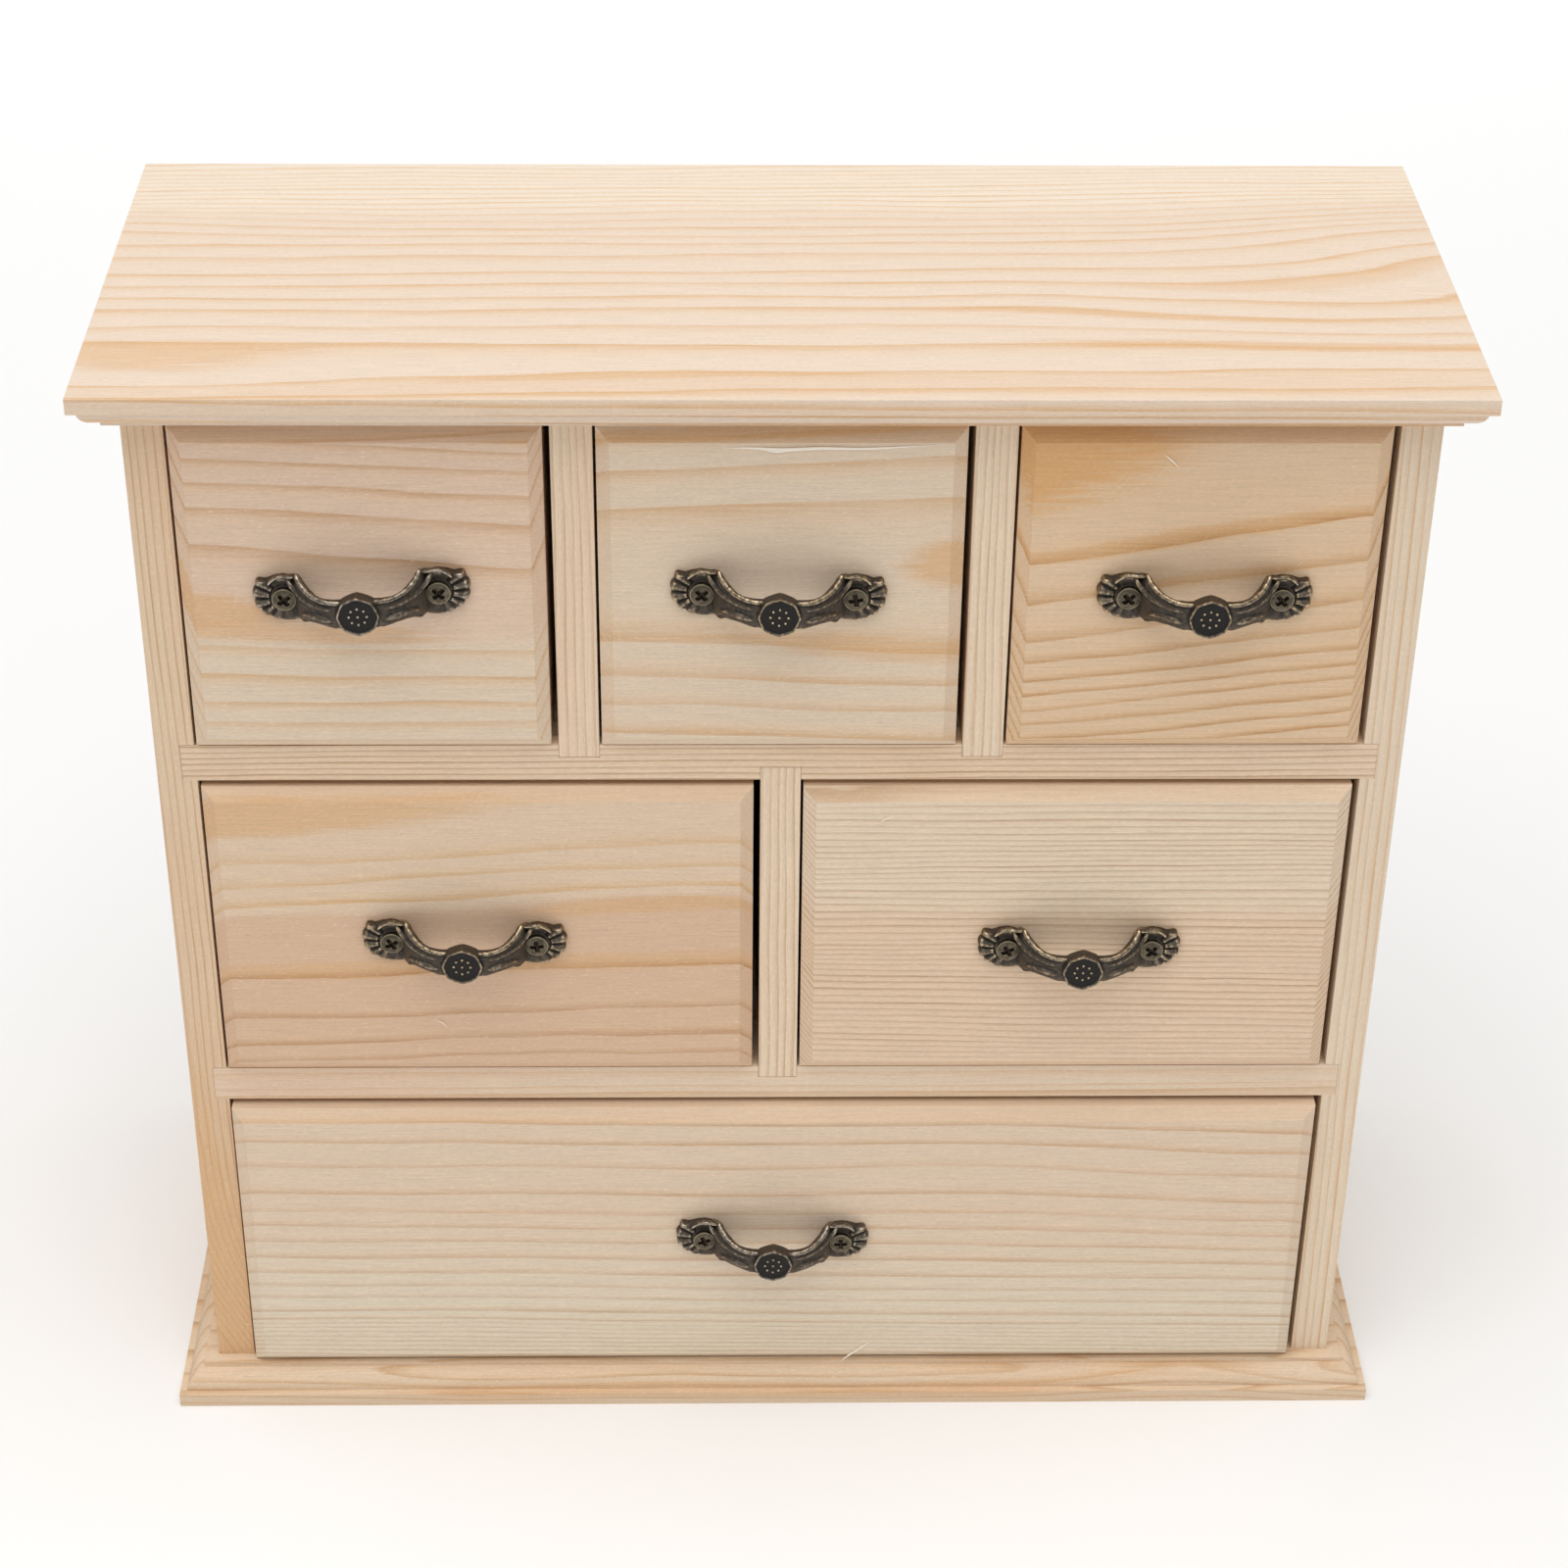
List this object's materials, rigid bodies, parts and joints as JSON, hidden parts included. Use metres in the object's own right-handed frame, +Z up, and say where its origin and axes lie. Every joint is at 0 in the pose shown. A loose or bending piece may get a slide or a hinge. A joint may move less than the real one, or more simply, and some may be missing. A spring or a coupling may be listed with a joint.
{
  "type": "desktop drawer organizer",
  "caption": "Small unfinished pine chest of drawers for a desk top, with rows of narrower to wider drawers, moulded top and base boards and cast bronze bow handles.",
  "frame": {"origin": "middle of the base board's underside, on the surface that the chest stands on", "axes": "+X to the right along the width, -Y out of the front where the drawers open, +Z up"},
  "size_m": [0.256, 0.112, 0.2412],
  "materials": {
    "pine_top": "raw planed pine, pale",
    "pine_carcass": "raw planed pine",
    "pine_front": "raw planed pine",
    "pine_box": "raw sawn pine",
    "plywood": "raw plywood",
    "dowel_beech": "raw beech",
    "handle_bronze": "antique bronze plating, rubbed at the edges",
    "screw_brass": "antique plated steel",
    "nail_steel": "bright steel"
  },
  "bodies": {
    "carcass": {"top_board": "pine_top", "base_board": "pine_carcass", "left_side_panel": "pine_carcass", "right_side_panel": "pine_carcass", "upper_shelf": "pine_carcass", "lower_shelf": "pine_carcass", "upper_left_divider": "pine_carcass", "upper_right_divider": "pine_carcass", "middle_divider": "pine_carcass", "back_panel": "plywood", "back_panel_nails": "nail_steel", "top_dowels": "dowel_beech", "base_dowels": "dowel_beech"},
    "top_left_drawer": {"top_left_drawer_front": "pine_front", "top_left_drawer_left_side": "pine_box", "top_left_drawer_right_side": "pine_box", "top_left_drawer_back": "pine_box", "top_left_drawer_bottom": "plywood", "top_left_drawer_handle": "handle_bronze", "top_left_drawer_handle_screws": "screw_brass"},
    "top_centre_drawer": {"top_centre_drawer_front": "pine_front", "top_centre_drawer_left_side": "pine_box", "top_centre_drawer_right_side": "pine_box", "top_centre_drawer_back": "pine_box", "top_centre_drawer_bottom": "plywood", "top_centre_drawer_handle": "handle_bronze", "top_centre_drawer_handle_screws": "screw_brass"},
    "top_right_drawer": {"top_right_drawer_front": "pine_front", "top_right_drawer_left_side": "pine_box", "top_right_drawer_right_side": "pine_box", "top_right_drawer_back": "pine_box", "top_right_drawer_bottom": "plywood", "top_right_drawer_handle": "handle_bronze", "top_right_drawer_handle_screws": "screw_brass"},
    "middle_left_drawer": {"middle_left_drawer_front": "pine_front", "middle_left_drawer_left_side": "pine_box", "middle_left_drawer_right_side": "pine_box", "middle_left_drawer_back": "pine_box", "middle_left_drawer_bottom": "plywood", "middle_left_drawer_handle": "handle_bronze", "middle_left_drawer_handle_screws": "screw_brass"},
    "middle_right_drawer": {"middle_right_drawer_front": "pine_front", "middle_right_drawer_left_side": "pine_box", "middle_right_drawer_right_side": "pine_box", "middle_right_drawer_back": "pine_box", "middle_right_drawer_bottom": "plywood", "middle_right_drawer_handle": "handle_bronze", "middle_right_drawer_handle_screws": "screw_brass"},
    "bottom_drawer": {"bottom_drawer_front": "pine_front", "bottom_drawer_left_side": "pine_box", "bottom_drawer_right_side": "pine_box", "bottom_drawer_back": "pine_box", "bottom_drawer_bottom": "plywood", "bottom_drawer_handle": "handle_bronze", "bottom_drawer_handle_screws": "screw_brass"}
  },
  "joints": [
    {"name": "top_left_drawer_slide", "type": "slide", "parent": "carcass", "child": "top_left_drawer", "axis": [0, -1, 0], "range_m": [0, 0.07]},
    {"name": "top_centre_drawer_slide", "type": "slide", "parent": "carcass", "child": "top_centre_drawer", "axis": [0, -1, 0], "range_m": [0, 0.07]},
    {"name": "top_right_drawer_slide", "type": "slide", "parent": "carcass", "child": "top_right_drawer", "axis": [0, -1, 0], "range_m": [0, 0.07]},
    {"name": "middle_left_drawer_slide", "type": "slide", "parent": "carcass", "child": "middle_left_drawer", "axis": [0, -1, 0], "range_m": [0, 0.07]},
    {"name": "middle_right_drawer_slide", "type": "slide", "parent": "carcass", "child": "middle_right_drawer", "axis": [0, -1, 0], "range_m": [0, 0.07]},
    {"name": "bottom_drawer_slide", "type": "slide", "parent": "carcass", "child": "bottom_drawer", "axis": [0, -1, 0], "range_m": [0, 0.07]}
  ]
}
